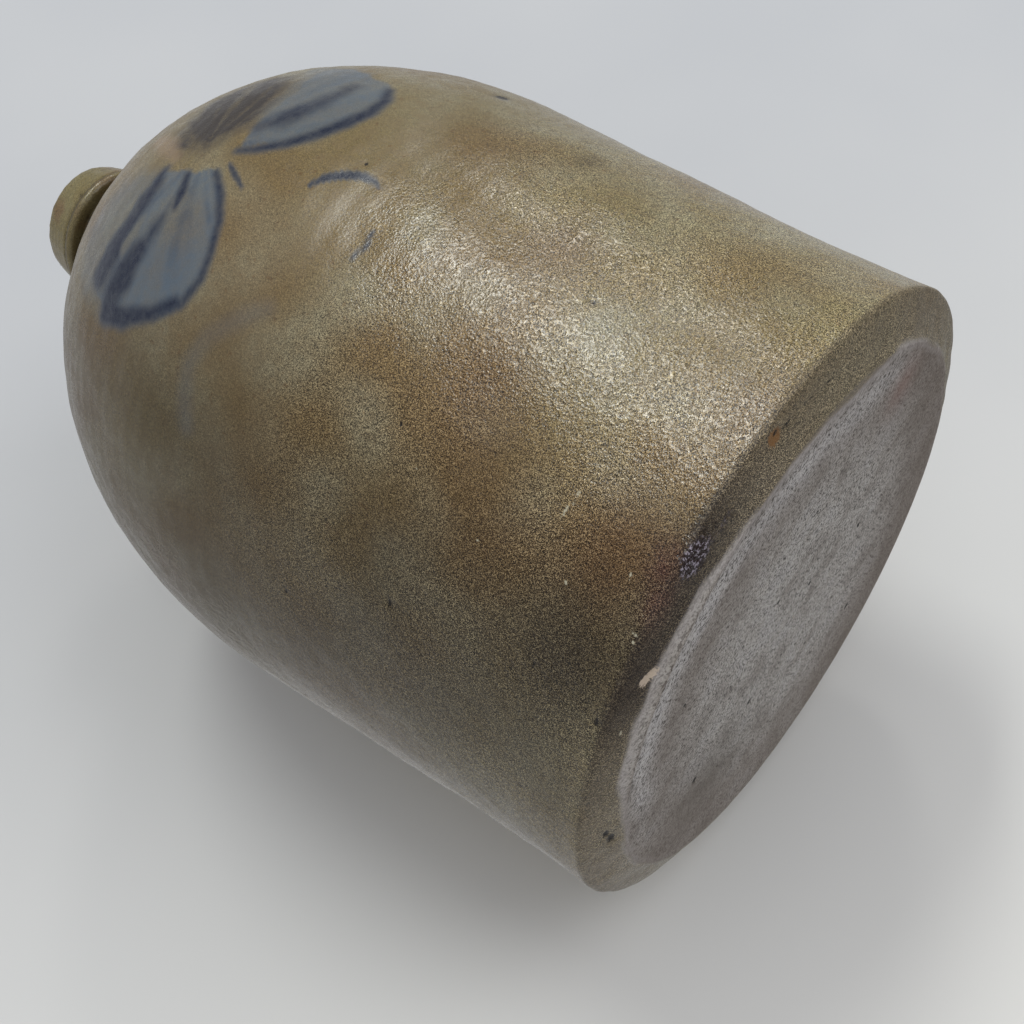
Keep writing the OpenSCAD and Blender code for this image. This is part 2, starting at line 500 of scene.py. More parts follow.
def waves(front, along, seed, size, count=24):
    """Smooth seeded lumps round the pot, about -1 to 1, repeating after a full turn."""
    rng = np.random.default_rng(seed)
    total = np.zeros(front.shape)
    for _ in range(count):
        turns = round(rng.uniform(-1, 1) * 2 * math.pi * LUMP_RADIUS / size)
        rate = rng.uniform(-1, 1) * 2 * math.pi / size
        total += np.sin(np.radians(front) * turns + along * rate + rng.uniform(*PHASES))
    return total / math.sqrt(count / 2) / LUMP_CREST


print("soft edge at its middle:", soft(0, 1))

# %% [markdown]
# ## The pot
# The skin has three parts in one mesh: rings over the underside, the outside
# from the foot to the seat of the neck, and a coarse inside that the slip
# covers. Only dents are cut into it, never bumps, so that it stays inside the
# solid it stands for. One mesh for all three leaves no seam at the foot's edge.

# %% Turn the pot
AROUND = 640
FIRST_RING = 0.8 * MM
RING_TO_EDGE = 0.6 * MM
INSIDE_STEP = 4

at_top = np.abs(pot_line[:, 1] - pot_line[:, 1].max()) < SAME_PLACE
seat_row = int(np.nonzero(at_top)[0][0])
rings = np.arange(FIRST_RING, pot_line[0, 0] - RING_TO_EDGE, POT_STEP)
underside = np.stack([rings, np.zeros_like(rings)], 1)
inside = pot_line[seat_row + 1:]
inside = np.concatenate([inside[:-1:INSIDE_STEP], inside[-1:]])
full_line = np.concatenate([underside, pot_line[:seat_row + 1], inside])
BASE_ROWS = slice(0, len(underside))
WALL_ROWS = slice(len(underside), len(underside) + seat_row + 1)
pot, pot_places, pot_ways_out, pot_angle = spin("pot", full_line, AROUND, close_floor=True)
wall = Wall(full_line[WALL_ROWS], pot_angle[WALL_ROWS])
q, z, s = wall.front, wall.height, wall.along
print("pot grid", pot_places.shape, "wall rows", len(q))

# %% [markdown]
# ## Dents of the wall
# A thrown wall is never quite round. Fingers leave faint rings as the clay
# spirals up, handling leaves broad flats, and grit and burst salt leave pits.
# Sculpting could give all of them once; summed waves and spots give them again
# at each run, and each kind has its own depth. All depths are in millimetres.

# %% Rings, flats and pits
LUMPS = ((0.15, 1, 26, 24), (0.10, 2, 60, 24), (0.05, 4, 9, 40))  # depth, seed, size, count
RING_PITCH, RING_DEPTH = 6.5, 0.028
RING_SHARE = ((0, 12, 60, 200, 260, 282), (0.2, 0.5, 0.5, 1.0, 1.0, 0.2))  # by height
FLAT_DEPTH, FLAT_TURN = 0.25, 30
FLAT_SHARE = ((0, 40, 282), (0.4, 1, 0.5))  # by height
PITS = (  # angle, height, half width, half height, depth
    (-47, 78.3, 1.1, 1.0, 0.7), (7, 66, 0.9, 1.0, 0.6), (-22, 93.5, 0.9, 0.7, 0.4),
    (10, 150, 1.0, 0.8, 0.3), (-56, 114.8, 0.9, 0.9, 0.5), (-43, 31.3, 0.8, 0.8, 0.4),
    (-45.3, 8.7, 1.2, 0.9, 0.6), (43.3, 150.5, 3.0, 2.2, 0.35), (64, 92, 1.2, 1.0, 0.5),
    (118, 60, 1.3, 1.0, 0.6), (-130, 118, 1.2, 1.1, 0.6), (158, 40, 1.4, 1.0, 0.5),
    (-95, 44, 1.0, 1.2, 0.6), (88, 176, 1.1, 1.0, 0.4), (-160, 190, 1.2, 1.0, 0.5))
SMALL_PITS = 150
SMALL_PIT_SIZE = (0.6, 1.1)

dent = sum(deep * (1 + waves(q, s, seed, size, count)) for deep, seed, size, count in LUMPS)
ring_phase = s / RING_PITCH + 0.6 * waves(q, s, 3, 90) + 0.15 * np.sin(s / 11)
dent += RING_DEPTH * np.interp(z, *RING_SHARE) * (1 - np.cos(2 * math.pi * ring_phase))
dent += FLAT_DEPTH * (1 - np.cos(2 * np.radians(q + FLAT_TURN))) * np.interp(z, *FLAT_SHARE)
pits = np.zeros(q.shape)
for pit_q, pit_z, wide, high, deep in PITS:
    one = wall.spot(pit_q, pit_z, wide, high)
    dent += deep * one
    pits = np.maximum(pits, one)
rng = np.random.default_rng(7)
for _ in range(SMALL_PITS):
    pit_q, pit_z = rng.uniform(-180, 180), rng.uniform(14, 255)
    one = wall.spot(pit_q, pit_z, rng.uniform(*SMALL_PIT_SIZE), rng.uniform(*SMALL_PIT_SIZE))
    dent += rng.uniform(0.08, 0.25) * one
    pits = np.maximum(pits, one * rng.uniform(0.1, 0.5))
print("deepest wall dent", round(float(dent.max()), 2), "mm")

# %% [markdown]
# ## The foot's bevel
# The potter cut a bevel round the foot, and it has had the most knocks: a buff
# chip on the dark side, a gold-brown pit with a crack running from it, and a
# black pit. Here places are given by angle and radius, since the bevel is
# nearly flat and its height says little.

# %% Marks on the bevel
BEVEL_TOP = 6.6
BEVEL_REACH = 8
DEEPEST = 2.2


def on_foot(q0, r0, wide, deep_in):
    """A soft patch on the bevel, by its angle from the front and its radius."""
    along_rim = np.radians(turned_from(q, q0)) * r0
    patch = np.exp(-((along_rim / wide) ** 2 + ((wall.radius - r0) / deep_in) ** 2))
    return patch * (z < BEVEL_REACH)


def trail(count, q0, turn, r0, fall, wide, deep_in):
    """Patches in a row on the bevel, for what is longer than it is wide."""
    patches = [on_foot(q0 + turn * i, r0 - fall * i, wide, deep_in) for i in range(count)]
    return np.maximum.reduce(patches)


bevel = soft(BEVEL_TOP - z, 1.0)
black_pit = np.maximum(on_foot(-76.2, 97, 2.9, 1.5), on_foot(-73.6, 98.6, 2.4, 1.0))
buff_chip = trail(4, -38.0, 0.6, 100.5, 0.8, 1.8, 1.5)
gold_pit = on_foot(2.1, 103.7, 3.4, 2.4)
gold_hole = on_foot(2.8, 103.6, 1.3, 0.8)
gold_crack = trail(7, 5.0, 2.2, 103.0, 0.55, 2.6, 0.45)
knocks = np.maximum(on_foot(-17, 110, 5, 3), on_foot(-62, 108, 4, 3)) * soft(BEVEL_REACH - z, 4)
foot_lumps = waves(q, s * 1.4, 11, 14) * soft(16 - z, 8)
dent += 1.3 * black_pit + 0.8 * buff_chip + 0.4 * gold_pit + 1.0 * gold_hole + 0.6 * gold_crack
dent += 0.14 * (1 + foot_lumps) * soft(12 - z, 10)
dent += 0.5 * knocks
dent *= np.interp(z, [0, 0.6], [0.15, 1.0])
dent *= np.interp(s, [s.max() - 10, s.max() - 7], [1, 0])
dent = np.clip(dent, 0, DEEPEST)
moved = pot_places.copy()
moved[WALL_ROWS] -= pot_ways_out[WALL_ROWS] * (dent * MM)[..., None]
print("foot dents done")

# %% [markdown]
# ## The wire-cut underside
# A twisted wire drawn under the pot cuts it from the wheel and leaves bent
# streaks, some pits, and here a slightly hollow middle. The streaks are sines
# of the distance across the wire's way, bent a little, so they stay in step
# over the whole base as real ones do.

# %% Streaks and pits below
WIRE_WAY = math.radians(-26)
STREAKS, STREAK_CREST = 26, 5.1
HOLLOW_DEPTH, STREAK_DEPTH = 0.25, 0.045
HOLLOW_EDGE, STANDING_EDGE = 78, 92.4
BASE_PITS = (  # angle, radius, half width, depth
    (-104.4, 61.2, 1.6, 0.8), (-121, 31.8, 1.4, 0.7), (20, 48, 1.1, 0.5), (-50, 70, 1.0, 0.4),
    (95, 40, 1.2, 0.5), (150, 66, 1.5, 0.6), (-15, 25, 1.0, 0.4), (60, 12, 1.2, 0.5))

base_x, base_y = pot_places[BASE_ROWS, :, 0] / MM, pot_places[BASE_ROWS, :, 1] / MM
reach = np.hypot(base_x, base_y)


def on_base(q0, r0, wide):
    """A soft round patch on the underside, by its angle from the front and its radius."""
    x0, y0 = r0 * math.sin(math.radians(q0)), -r0 * math.cos(math.radians(q0))
    return np.exp(-((base_x - x0) ** 2 + (base_y - y0) ** 2) / wide ** 2)


across = base_x * math.sin(WIRE_WAY) - base_y * math.cos(WIRE_WAY)
lengthways = base_x * math.cos(WIRE_WAY) + base_y * math.sin(WIRE_WAY)
swirl = across + 0.0010 * (lengthways + 20) ** 2 + 1.5 * np.sin(lengthways / 17)
rng = np.random.default_rng(5)
streaks = np.zeros(swirl.shape)
for _ in range(STREAKS):
    width = rng.uniform(2.6, 16)
    sway = 0.5 * np.sin(lengthways / 23 + width)
    streaks += np.sin(2 * math.pi * swirl / width + rng.uniform(*PHASES) + sway)
streaks = streaks / STREAK_CREST
lift = STREAK_DEPTH * (1 + np.clip(streaks, -1, 1)) + HOLLOW_DEPTH * soft(HOLLOW_EDGE - reach, 30)
base_pits = np.zeros(swirl.shape)
for pit_q, pit_r, wide, deep in BASE_PITS:
    one = on_base(pit_q, pit_r, wide)
    lift += deep * one
    base_pits = np.maximum(base_pits, one)
lift *= soft(STANDING_EDGE - reach, 1.6)
moved[BASE_ROWS, :, 2] += lift * MM
set_points(pot, moved)
print("underside streaks up to", round(float(lift.max()), 2), "mm deep")

# %% [markdown]
# ## The brushed flower
# Cobalt wash is thin: pale blue-grey where it was spread, nearly black where the
# brush was full or turned. Two petals, a curl, a fainter curl and some short
# strokes lie round the shoulder. Each is either a filled shape or a stroke with
# half widths, as a painter would lay it, so it can be moved or thinned by hand.
# Their angles were fitted 18 degrees past the front.

# %% Brush shapes
FLOWER_TURN = 18
FLOWER_Q, FLOWER_Z = (-60, 70), (110, 262)
FLOWER_LEAN = ((-15, 15, 50), (1.3, 0.2, -1.0))
FILLED = {  # share of wobble, then the outline as angles and heights
    "left_petal": (1, (
        (-14, 206), (-13.5, 199), (-11, 189), (-8.5, 181), (-5, 174), (0, 171), (4, 172.5),
        (9, 176.5), (13, 183), (16.5, 192), (15, 203), (14, 215), (8, 217), (2, 219),
        (-3, 222), (-9, 221), (-12, 214))),
    "smear": (2, (
        (-14, 208), (-13, 226), (-9, 237), (0, 241), (9, 238), (13, 226), (14, 214), (2, 208))),
    "right_petal": (1, (
        (22, 190), (24, 182), (28, 173), (33, 167), (38, 165), (43, 167), (47, 173), (49, 181),
        (51, 192), (53, 206), (46, 203), (40, 198), (33, 196), (27, 194))),
    "right_wash": (2, (
        (28, 190), (44, 176), (51, 188), (54, 208), (51, 214), (47, 208), (40, 203), (30, 200))),
    "hole": (0, ((-2, 212.5), (3, 211), (5, 208), (1, 206.5), (-4, 208.5))),
    "mass": (0, (
        (-13, 207), (-10, 218), (-4, 219), (3, 215), (3, 211), (0, 203), (-6, 200), (-11, 200))),
    "thin": (0, ((3, 199), (8, 203), (12, 199), (11, 188), (6, 180), (2, 184))),
    "centre": (0, (
        (20, 203), (19, 218), (24, 226), (34, 229), (44, 224), (47, 212), (40, 203), (28, 196)))}
STROKES = {  # share of wobble, the path as angles and heights, half widths
    "bank": (0.6, ((-13.5, 206), (-12, 196), (-9, 185), (-5, 177)), (3.2, 2.6, 1.8, 0.8)),
    "band": (1, ((-11, 206), (-5, 204), (1, 201), (6, 200)), (5.5, 6.5, 3.0, 1.0)),
    "upper": (0.7, ((-8, 217), (-2, 215), (4, 213.5), (10, 213), (14, 214.5)),
              (4.6, 5.2, 3.6, 2.4, 1.0)),
    "short": (0.4, ((14.2, 202), (11, 199), (8, 197)), (1.6, 2.1, 1.0)),
    "core": (1, ((27.5, 191), (31, 187), (36, 183.5), (44, 182)), (2.4, 4.8, 3.6, 1.5)),
    "left_rim": (0, ((-9, 183), (-5, 174.6), (0, 171.8), (4, 173.3), (9, 177.3), (13, 183.6),
                     (16.3, 191.5)), (1.3, 1.2, 1.2, 1.1, 1.1, 1.2, 1.0)),
    "right_rim": (0, ((21.3, 191), (23, 184), (25.5, 177.5), (29, 172.2), (33.5, 167.8),
                      (38, 166), (42.5, 167.6), (46, 172)),
                  (0.6, 1.2, 1.6, 2.0, 2.3, 2.1, 1.6, 1.0)),
    "curl": (0, ((20.3, 158.6), (22.5, 156.5), (24.5, 152.5), (25.7, 147.5), (25.9, 143.5),
                 (25.3, 140.5)), (0.5, 1.3, 1.5, 1.4, 0.9, 0.2)),
    "upper_tick": (0, ((18.4, 189), (17, 184), (15.4, 178)), (0.6, 1.0, 0.4)),
    "lower_tick": (0, ((13, 132.5), (16, 131), (18.5, 132.5)), (0.4, 0.7, 0.4)),
    "faint": (0, ((-21, 158), (-17, 161), (-12, 163), (-7, 160), (-2, 152), (1, 146)),
              (3, 3, 3, 3, 3, 2.4)),
    # The last stroke places a painted pinkish highlight in the flower's middle.
    "highlight_streak": (0, ((17, 214), (19.5, 224), (22, 236)), (1.5, 3.5, 2.0))}

near = (q > FLOWER_Q[0]) & (q < FLOWER_Q[1]) & (z > FLOWER_Z[0]) & (z < FLOWER_Z[1])
flat = wall.flat()
spots = flat[near]
wobble = 0.7 * waves(q, s, 21, 9)[near]


def drawn(pairs):
    """Unrolled points of a shape's angles and heights."""
    a = np.array(pairs, float)
    return wall.at(a[:, 0] - FLOWER_TURN, a[:, 1] + np.interp(a[:, 0], *FLOWER_LEAN))


brush = {name: depth_in(spots, drawn(outline)) + shake * wobble
         for name, (shake, outline) in FILLED.items()}
brush.update({name: stroke(spots, drawn(path), widths) + shake * wobble
              for name, (shake, path, widths) in STROKES.items()})
print("brush shapes over", len(spots), "points of the wall")

# %% [markdown]
# ## Wash and load
# Two masks carry the colour: `wash` is the thin blue and `load` the dark pigment
# that gathers at the ends and edges of strokes. The bristles drew hairs outward
# from the flower's middle, so the hairs are waves of the angle round it.

# %% Cobalt masks
WASH = (  # shape, how much it is grown, soft edge, strength
    ("left_petal", 0, 1.4, 0.80), ("right_petal", 0, 1.6, 0.74), ("smear", 0, 9, 0.46),
    ("right_wash", 0, 8, 0.50), ("faint", 0, 5, 0.20))
LOAD = (
    ("bank", 0.6, 4.5, 1.0), ("band", 0, 7.0, 0.95), ("upper", 0.5, 5.5, 1.0),
    ("short", 0, 3.0, 0.95), ("core", 0, 7.5, 0.9), ("left_rim", 0.2, 3.0, 0.85),
    ("right_rim", 0.3, 4.0, 0.95), ("curl", 0, 1.2, 1.0), ("upper_tick", 0, 1.1, 0.75),
    ("lower_tick", 0, 1.1, 0.75), ("mass", 0, 7, 0.62))
FLOWER_MIDDLE = (19.5, 203)
HAIRS, HAIR_CREST = 26, 4.8


def laid(parts):
    """The strongest of several soft brush shapes at each point."""
    return np.maximum.reduce([
        soft(brush[name] + grown, edge) * strength for name, grown, edge, strength in parts])


def on_wall(values):
    full = np.zeros(q.shape)
    full[near] = values
    return full


off_middle = spots - drawn([FLOWER_MIDDLE])[0]
ray = np.arctan2(off_middle[:, 1], off_middle[:, 0])
ray_length = np.hypot(off_middle[:, 0], off_middle[:, 1])
rng = np.random.default_rng(41)
hair = np.zeros(ray.shape)
for _ in range(HAIRS):
    turns, phase = rng.integers(5, 34), rng.uniform(*PHASES)
    hair += np.sin(ray * turns + phase + 2.2 * np.sin(ray_length / rng.uniform(9, 40)))
hair = np.clip(hair / HAIR_CREST, -1, 1) * (0.75 + 0.5 * wobble)
petals = np.maximum(soft(brush["left_petal"], 2), soft(brush["right_petal"], 2))
haired = petals * 0.34 * np.clip(hair, 0, 1) * soft(40 - ray_length, 30)
hole = soft(brush["hole"], 3)
wash = laid(WASH) * (1 + 0.14 * hair) * (1 - 0.4 * hole) * (1 - 0.3 * soft(brush["thin"], 7))
load = np.maximum(laid(LOAD), haired) * (1 - 0.8 * hole)
cobalt = on_wall(np.clip(np.maximum(wash, load * 0.8), 0, 1))
centre = on_wall(soft(brush["centre"], 12) * (1 + 0.3 * hair))
print("cobalt covers", round(float((cobalt > 0.2).mean() * 100), 2), "% of the wall")

# %% [markdown]
# ## Where glaze gives way to clay
# Before firing, the foot was wiped so that it would not stick to the kiln. The
# wiping went unevenly past the edge, and the glaze stopped in a pale ridge.
# The edge is one line of radii round the jug; what lies on each side of it is
# worked out for the wall's rows and for the underside's rows alike.

# %% Edge of the bare clay
EDGE = ((-180, -110, -73, -55, -40, -23, -9, 7, 25, 45, 70, 180),
        (93.2, 93.0, 93.6, 97.2, 98.4, 96.6, 94.1, 90.5, 89.8, 94.2, 93.4, 93.2))
RIDGE_SHARE = ((-180, -120, -70, 0, 45, 70, 180), (0.2, 0.2, 0.8, 1.0, 0.9, 0.3, 0.2))
PALE_SHARE = ((-100, -60, 0, 40, 60), (0.2, 1, 1, 0.9, 0))
EDGE_SOFT, EDGE_HEIGHT = 1.4, 6
RIDGE_IN, RIDGE_WIDE = 1.2, 1.3
PALE_IN, PALE_WIDE = 9, 8.0


def bare_edge(front):
    """Radius of the edge, with the small waves that wire and sponge left."""
    ripple = 0.5 * np.sin(np.radians(front) * 11) + 0.35 * np.sin(np.radians(front) * 29)
    return np.interp(front, *EDGE) + ripple


def ridge(radius, edge, front):
    """The glaze's pale ridge, just inside the edge."""
    return np.exp(-((radius - edge + RIDGE_IN) / RIDGE_WIDE) ** 2) * np.interp(front, *RIDGE_SHARE)


base_q = turned_from(np.degrees(np.arctan2(base_y, base_x)) + 90, 0)
wall_edge, base_edge = bare_edge(q), bare_edge(base_q)
under_wall = soft(wall_edge - wall.radius, EDGE_SOFT) * (z < EDGE_HEIGHT)
under_base = soft(base_edge - reach, EDGE_SOFT)
ridge_wall = ridge(wall.radius, wall_edge, q) * (z < EDGE_HEIGHT)
ridge_base = ridge(reach, base_edge, base_q)
pale = np.exp(-((reach - base_edge + PALE_IN) / PALE_WIDE) ** 2) * np.interp(base_q, *PALE_SHARE)
print("bare clay ends", round(float(base_edge.min()), 1), "mm out where it ends soonest")

# %% [markdown]
# ## Flushes, clouds, painted shade and scratches
# Flame and ash coloured each side differently: toast-brown flushes, a dark side
# near the foot with one glassy spot, a rusty tinge, grey-green clouds. Higher on
# the left, some dark spots are painted shade and a painted dark reflection, and
# a shade mask paints shade over that side. One cloud is partly painted light on
# the front, and one takes grey from the shoulder as painted shade over a
# highlight. They are sums of soft spots, each with a strength, an angle, a height
# and two half sizes. A few pale scratches and nicks are sharper.

# %% Fired colours of the wall
TOAST_SPOTS = (
    (1.0, -24.1, 22, 20, 15), (0.7, -13.1, 76, 18, 16), (0.6, 12.5, 84.7, 14, 11),
    (0.55, 2, 10, 20, 7), (0.4, 26, 128, 18, 22), (0.5, -30, 50, 16, 22), (0.5, 120, 90, 30, 20))
# The dark spots at -39.2, -50, -66 and -40 degrees are painted shade and a painted dark reflection on
# the left side; the others are the glaze's own dark.
DARK_GLAZE_AND_SHADE_SPOTS = (
    (0.85, -39.2, 22, 19, 17), (0.9, -24, 6, 20, 6), (0.5, 34.5, 105.6, 6, 3),
    (0.55, -50, 60, 34, 44), (0.4, -66, 110, 30, 60), (0.4, 43.3, 150.5, 4, 3),
    (0.3, -40, 170, 12, 22))
SPARK_SPOTS = ((1.1, -18.2, 4, 6.5, 4.5), (0.5, -11, 3, 6, 2.5))
RUST_SPOTS = ((1.0, -20.5, 9.5, 6.5, 5), (1.0, -26, 5.5, 6.5, 4.5))
# Grey clouds. The spot at -17 degrees and 146 mm is partly painted light on the front; the negative
# spot at 5 degrees and 156 mm is painted shade over a highlight on the shoulder.
CLOUD_LIGHT_AND_SHADE_SPOTS = (
    (0.50, -17, 146, 30, 38), (-0.35, 5, 156, 22, 22), (0.3, -50, 70, 20, 50),
    (-0.35, -18, 70, 24, 34), (-0.25, 10, 120, 20, 14))
TONE_SHARE = ((-180, -90, -20, 40, 180), (0, -0.2, -0.15, 0.2, 0))
COARSE_SHARE = ((0, 100, 128, 146, 200, 282), (1.9, 1.5, 0.9, 0.32, 0.36, 0.45))
NICKS = (  # angle, height, half width
    (-24.4, 16.2, 0.9), (-31, 8.0, 1.0), (-32.2, 7.6, 0.7), (-38, 6.8, 1.0), (-28, 8.2, 0.8),
    (-33.5, 22.0, 0.8), (-29.8, 31, 0.8), (-31, 59, 0.7), (-26.5, 84, 0.7), (22, 163, 0.8))
GRAZE = ((-16.8, -19.2, -22.2), (39.9, 39.2, 40.3))


def summed(table):
    """The wall's soft spots of a table added up, each by its strength."""
    return sum(strength * wall.spot(*place) for strength, *place in table)


toast = np.clip(summed(TOAST_SPOTS), 0, 1)
# Dark: the glaze's own dark brown at the foot and bevel, with painted shade and a painted dark
# reflection on the left side.
dark = np.clip(summed(DARK_GLAZE_AND_SHADE_SPOTS) + on_foot(-27, 103, 38, 14), 0, 1)
spark = np.clip(summed(SPARK_SPOTS), 0, 1)
rust = np.clip(summed(RUST_SPOTS), 0, 1) * (1 + 0.2 * waves(q, s, 64, 6))
tone = np.clip(0.5 + 0.5 * waves(q, s, 61, 75, 16) + np.interp(q, *TONE_SHARE), 0, 1)
# Grey clouds, with partly painted light on the front and painted shade over a highlight on the
# shoulder.
cloud = np.clip(0.40 + 0.45 * waves(q, s, 62, 19, 30) + summed(CLOUD_LIGHT_AND_SHADE_SPOTS), 0, 1)
# Painted shade: the left side, from about -120 to -5 degrees and above the foot, is made darker.
shade = soft(-26 - q, 44) * soft(100 + q, 50) * soft(z - 6, 16)
coarse = np.interp(z, *COARSE_SHARE) * (1 + 0.2 * waves(q, s, 63, 40))
graze = stroke(flat, wall.at(*np.array(GRAZE)), (0.4, 0.9, 0.9)) + 0.5 * waves(q, s, 51, 3, 12)
scratch = np.maximum(0.62 * soft(graze, 1.8), 0.8 * on_foot(-47, 102, 1.6, 0.8))
for nick_q, nick_z, wide in NICKS:
    scratch = np.maximum(scratch, 0.85 * wall.spot(nick_q, nick_z, wide, 0.8 * wide))
print("toast covers", round(float((toast > 0.3).mean() * 100), 1), "% of the wall")

# %% [markdown]
# ## Hand the marks to the mesh
# The material can't run Python, so each mask becomes an attribute of the mesh,
# one number per point, which an Attribute node reads. The wall and the underside
# are rows of the same grid and often carry different things under one name.

# %% Attributes of the pot
BASE_FLUSH, BASE_STAIN = (52, 79.5, 8.5), (-116.966, 63.953, 24)  # angle, radius, half width


def whole(on_the_wall, below):
    """Values for every row of the pot from those of the wall and of the underside."""
    full = np.zeros(pot_places.shape[:2])
    full[WALL_ROWS] = on_the_wall
    full[BASE_ROWS] = below
    return full


POT_MASKS = {  # name: wall, underside
    "cobalt": (cobalt, 0),
    "load": (on_wall(load), 0),
    "centre": (centre, 0),
    # painted highlight in the flower's middle
    "painted_highlight": (on_wall(soft(brush["highlight_streak"], 5)), 0),
    "pit": (np.maximum.reduce([pits, black_pit, gold_hole, 0.8 * gold_crack]), base_pits),
    "chip": (buff_chip, 0),
    "gold": (gold_pit, 0),
    "scratch": (scratch, 0),
    "toast": (toast, on_base(*BASE_FLUSH)),
    "rust": (rust, 0),
    # dark glaze, and painted shade on the left side
    "dark": (dark, 0),
    "spark": (spark, 0),
    "under": (under_wall, under_base),
    "bevel": (bevel, 1 - under_base),
    "ridge": (ridge_wall, ridge_base),
    "pale": (0, pale),
    "reach": (wall.radius / 100, reach / 100),
    "streaks": (0, streaks),
    # painted shade of the left side on the wall; a stain on the underside
    "shade": (shade, on_base(*BASE_STAIN)),
    "coarse": (coarse, 1),
    "tone": (tone, 0),
    "cloud": (cloud, 0)}
for name, (on_the_wall, below) in POT_MASKS.items():
    carry(pot, name, whole(on_the_wall, below))
print("pot carries", len(POT_MASKS), "masks")

# %% [markdown]
# ## Neck and collar
# The neck was thrown thick and its collar pressed with a tool, which left fine
# rings, a sharp ridge and a groove; the groove and a ring below it are painted
# dark. Its outline closes on itself round the bore, so its last ring joins its
# first. Only the outside gets dents; the bore keeps the solid's own surface, so
# a stopper still fits.

# %% Turn the neck
NECK_AROUND = 288
NECK_RADIUS = 24
NECK_PITS = 34
BORE_CLEAR = 15
NECK_FOOT = full_line[:, 1].max() / MM + 0.2
NECK_TOP = JUG_TOP / MM
LIP_HEIGHTS = (NECK_TOP - 4.46, NECK_TOP - 1.46)
RIDGE_AT, GROOVE_AT, LOWER_GROOVE_AT, LIP_AT = (
    NECK_TOP - below for below in (16.26, 14.56, 19.06, 0.66))

neck, neck_places, neck_ways_out, neck_angle = spin(
    "neck_collar", neck_line, NECK_AROUND, joined=True)
neck_r, neck_z = neck_line[:, 0] / MM, neck_line[:, 1] / MM
neck_s = np.repeat(np.arange(len(neck_line))[:, None] * (NECK_STEP / MM), NECK_AROUND, 1)
neck_q = np.degrees(neck_angle) + 90
outer = ((neck_r > BORE_CLEAR) & (neck_z > NECK_FOOT))[:, None]
tool_marks = 1 + np.sin(neck_s * 2.4 + 0.5 * waves(neck_q, neck_s, 32, 40))
lip = np.interp(neck_z, LIP_HEIGHTS, (0, 1))[:, None]
neck_dent = 0.06 * (1 + waves(neck_q, neck_s, 31, 16, 30)) + 0.025 * tool_marks
neck_dent += 0.06 * lip * (1 + waves(neck_q, neck_s * 0.3, 33, 20))
rng = np.random.default_rng(17)
neck_pits = np.zeros(neck_q.shape)
for _ in range(NECK_PITS):
    pit_q, pit_s, wide = rng.uniform(-90, 270), rng.uniform(20, 70), rng.uniform(0.5, 1.1)
    round_it = np.radians(turned_from(neck_q, pit_q)) * NECK_RADIUS
    one = np.exp(-((round_it / wide) ** 2 + ((neck_s - pit_s) / wide) ** 2))
    neck_pits = np.maximum(neck_pits, one)
neck_dent = (neck_dent + 0.35 * neck_pits) * outer
set_points(neck, neck_places - neck_ways_out * (neck_dent * MM)[..., None])


def ring_at(height, wide, beyond=0.0):
    """A soft ring round the neck at a height, where the radius is beyond a limit."""
    return np.exp(-((neck_z - height) / wide) ** 2) * (neck_r > beyond)


# The groove and a ring below it are painted dark.
groove = ring_at(GROOVE_AT, 1.3, 20) + 0.9 * ring_at(LOWER_GROOVE_AT, 1.5, 20)
rub = ring_at(LIP_AT, 0.8) + 0.6 * ring_at(RIDGE_AT, 0.9, 25.8)
carry(neck, "groove", np.repeat(np.clip(groove, 0, 1)[:, None], NECK_AROUND, 1))
carry(neck, "pit", neck_pits * outer)
carry(neck, "rub", np.clip(rub, 0, 1)[:, None] * (0.6 + 0.4 * waves(neck_q, neck_s, 35, 15)))
print("neck grid", neck_places.shape)

# %% [markdown]
# ## Handle
# The strap and the clay that lutes it on are one fired mass. Their three solids
# are joined, covered with one fine skin and smoothed as wet fingers would. Near
# the pot the skin spreads a little, and what lies on the pot sinks into it, so
# that no gap shows. For that, each point's distance to the pot is needed, which
# the two outlines give, since the pot and neck are turned.

# %% Distance to the pot
SHOULDER_FROM = 0.15
STEM_RADIUS = 0.0214


def pot_distance(points):
    """Distance outside the pot and neck, in millimetres, negative inside; and the way out."""
    r = np.hypot(points[:, 0], points[:, 1])
    p = np.stack([r, points[:, 2]], 1)
    shoulder = pot_line[pot_line[:, 1] > SHOULDER_FROM][:-1]
    shoulder = shoulder[: int(np.argmax(shoulder[:, 1])) + 1]
    stem = neck_line[neck_line[:, 0] > STEM_RADIUS]
    stem = stem[int(np.argmax(stem[:, 0])):]
    line = np.concatenate([shoulder, stem])
    best, side, way = np.full(len(p), 1e9), np.zeros(len(p)), np.zeros((len(p), 2))
    for a, b in zip(line[:-1], line[1:]):
        d = b - a
        if d @ d < 1e-14:
            continue
        t = np.clip(((p - a) @ d) / (d @ d), 0, 1)[:, None]
        off = p - a - t * d
        away = np.hypot(off[:, 0], off[:, 1])
        out = np.array([d[1], -d[0]]) / math.hypot(*d)
        closer = away < best
        best = np.where(closer, away, best)
        side = np.where(closer, np.sign(off @ out), side)
        way[closer] = out
    flat_way = way[:, :1] * points[:, :2] / (r[:, None] + 1e-9)
    return best * side / MM, np.concatenate([flat_way, way[:, 1:]], 1)


print("distance helper ready")

# %% Skin over the handle's solids
HANDLE_NODES = ("handle_strap", "upper_lute", "lower_lute")
VOXEL, SMOOTH_ROUNDS = 0.65 * MM, 6


